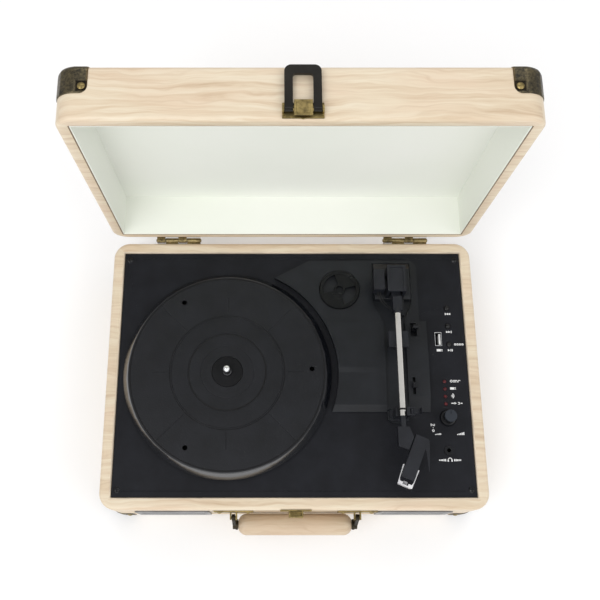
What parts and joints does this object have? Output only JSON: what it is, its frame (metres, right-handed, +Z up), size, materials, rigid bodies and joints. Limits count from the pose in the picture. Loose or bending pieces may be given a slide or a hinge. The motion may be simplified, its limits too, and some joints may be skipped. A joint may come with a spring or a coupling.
{
  "type": "suitcase record player",
  "caption": "Record player built into a hinged carrying case: belt-driven platter, tonearm with cartridge, control strip, latch and folding handle.",
  "frame": {"origin": "on the surface it stands on, under the middle of its bounding box with the lid open", "axes": "+X to the player's right, -Y out of the front of the case (handle and latch), +Z up"},
  "size_m": [0.3542, 0.323, 0.3434],
  "materials": {
    "case_wrap": "satin wood-grain wrap",
    "lid_lining": "matt",
    "deck_black": "fine textured",
    "black_gloss": "semi-gloss",
    "black_rubber": "matt",
    "old_brass": "antique brass",
    "bronze_caps": "dark antique bronze",
    "latch_black": "satin black",
    "steel": "brushed",
    "chrome": "polished",
    "alu": "satin",
    "white_plastic": "matt",
    "red_led": "clear red",
    "stylus_red": "gloss",
    "board_green": "matt",
    "grip": "wood-grain wrap",
    "cone": "matt"
  },
  "bodies": {
    "base": {"base_case": "case_wrap", "rubber_feet": "black_rubber", "deck_plate": "deck_black", "deck_screws": "black_gloss", "mech_cover": "deck_black", "drive_plate": "steel", "spindle": "chrome", "drive_belt": "black_rubber", "motor": "steel", "arm_pedestal": "deck_black", "arm_rest": "black_gloss", "usb_shell": "chrome", "usb_tongue": "white_plastic", "status_leds": "red_led", "volume_pot": "steel", "headphone_jack": "black_gloss", "control_board": "board_green", "base_corner_caps": "bronze_caps", "base_cap_rivets": "old_brass", "hinge_base_leaves": "old_brass", "hinge_pins": "old_brass", "hinge_base_screws": "old_brass", "latch_keeper": "old_brass", "handle_plates": "old_brass", "speaker_grilles": "steel", "speaker_drivers": "cone", "dc_inlet": "black_gloss", "line_in_jack": "black_gloss"},
    "lid": {"lid_shell": "case_wrap", "lid_lining": "lid_lining", "lid_corner_caps": "bronze_caps", "lid_cap_rivets": "old_brass", "hinge_lid_leaves": "old_brass", "hinge_lid_screws": "old_brass", "latch_plate": "old_brass"},
    "latch": {"latch_lever": "latch_black"},
    "link": {"latch_link": "old_brass"},
    "turntable": {"platter": "black_gloss", "platter_hub": "black_gloss"},
    "pulley": {"motor_pulley": "old_brass"},
    "arm_base": {"arm_yoke": "black_gloss", "arm_leads": "black_rubber"},
    "arm": {"arm_neck": "black_gloss", "arm_tube": "alu", "arm_ring": "black_rubber", "headshell": "black_gloss", "cartridge": "black_gloss", "stylus": "stylus_red"},
    "guard": {"stylus_guard": "white_plastic"},
    "clip": {"arm_clip": "black_gloss"},
    "cue": {"cue_lever": "black_gloss"},
    "cue_rest": {"cue_platform": "deck_black"},
    "speed": {"speed_lever": "black_gloss"},
    "knob": {"volume_knob": "black_gloss"},
    "prev_key": {"button_prev": "black_gloss"},
    "next_key": {"button_next": "black_gloss"},
    "play_key": {"button_play": "black_gloss"},
    "adapter": {"adapter_45": "black_gloss"},
    "handle": {"handle_grip": "grip", "handle_ends": "bronze_caps"}
  },
  "joints": [
    {"name": "lid_hinge", "type": "hinge", "parent": "base", "child": "lid", "pos_m": [0, 0.11607, 0.0785], "axis": [-1, 0, 0], "range_deg": [-87.5, 0]},
    {"name": "latch_lever_pivot", "type": "hinge", "parent": "lid", "child": "latch", "pos_m": [0.0015, 0.11269, 0.3394], "axis": [1, 0, 0], "range_deg": [0, 150]},
    {"name": "latch_link_pivot", "type": "hinge", "parent": "latch", "child": "link", "pos_m": [0.0015, 0.11648, 0.33957], "axis": [1, 0, 0], "range_deg": [-150, 0]},
    {"name": "platter_spin", "type": "hinge", "parent": "base", "child": "turntable", "pos_m": [-0.0613, -0.01843, 0.09], "axis": [0, 0, 1], "continuous": true},
    {"name": "pulley_spin", "type": "hinge", "parent": "base", "child": "pulley", "pos_m": [-0.1308, 0.00017, 0.08], "axis": [0, 0, 1], "continuous": true},
    {"name": "arm_swing", "type": "hinge", "parent": "base", "child": "arm_base", "pos_m": [0.0965, 0.06787, 0.103], "axis": [0, 0, -1], "range_deg": [0, 46]},
    {"name": "arm_lift", "type": "hinge", "parent": "arm_base", "child": "arm", "pos_m": [0.0965, 0.06787, 0.103], "axis": [-1, 0, 0], "range_deg": [-0.6, 18]},
    {"name": "guard_slide", "type": "slide", "parent": "arm", "child": "guard", "axis": [-0.3843, -0.9232, 0], "range_m": [0, 0.02]},
    {"name": "clip_pivot", "type": "hinge", "parent": "base", "child": "clip", "pos_m": [0.1056, -0.05813, 0.1045], "axis": [0, 1, 0], "range_deg": [-90, 0]},
    {"name": "cue_lever_pivot", "type": "hinge", "parent": "base", "child": "cue", "pos_m": [0.1142, 0.02287, 0.084], "axis": [1, 0, 0], "range_deg": [0, 30]},
    {"name": "cue_platform_slide", "type": "slide", "parent": "base", "child": "cue_rest", "axis": [0, 0, 1], "range_m": [-0.004, 0]},
    {"name": "speed_slide", "type": "slide", "parent": "base", "child": "speed", "axis": [0, 1, 0], "range_m": [-0.005, 0.005]},
    {"name": "volume_turn", "type": "hinge", "parent": "base", "child": "knob", "pos_m": [0.1425, -0.05953, 0.0785], "axis": [0, 0, -1], "range_deg": [-150, 150]},
    {"name": "prev_press", "type": "slide", "parent": "base", "child": "prev_key", "axis": [0, 0, -1], "range_m": [0, 0.0008], "stiffness_N_per_m": 300},
    {"name": "next_press", "type": "slide", "parent": "base", "child": "next_key", "axis": [0, 0, -1], "range_m": [0, 0.0008], "stiffness_N_per_m": 300},
    {"name": "play_press", "type": "slide", "parent": "base", "child": "play_key", "axis": [0, 0, -1], "range_m": [0, 0.0008], "stiffness_N_per_m": 300},
    {"name": "adapter_lift", "type": "slide", "parent": "base", "child": "adapter", "axis": [0, 0, 1], "range_m": [0, 0.03]},
    {"name": "handle_swing", "type": "hinge", "parent": "base", "child": "handle", "pos_m": [0.0015, -0.14663, 0.06], "axis": [-1, 0, 0], "range_deg": [0, 95]}
  ],
  "couplings": [
    {"joint": "latch_link_pivot", "follows": "latch_lever_pivot", "ratio": -1},
    {"joint": "pulley_spin", "follows": "platter_spin", "ratio": 9.375},
    {"joint": "cue_lever_pivot", "follows": "cue_platform_slide", "rad_per_m": -130.9}
  ]
}
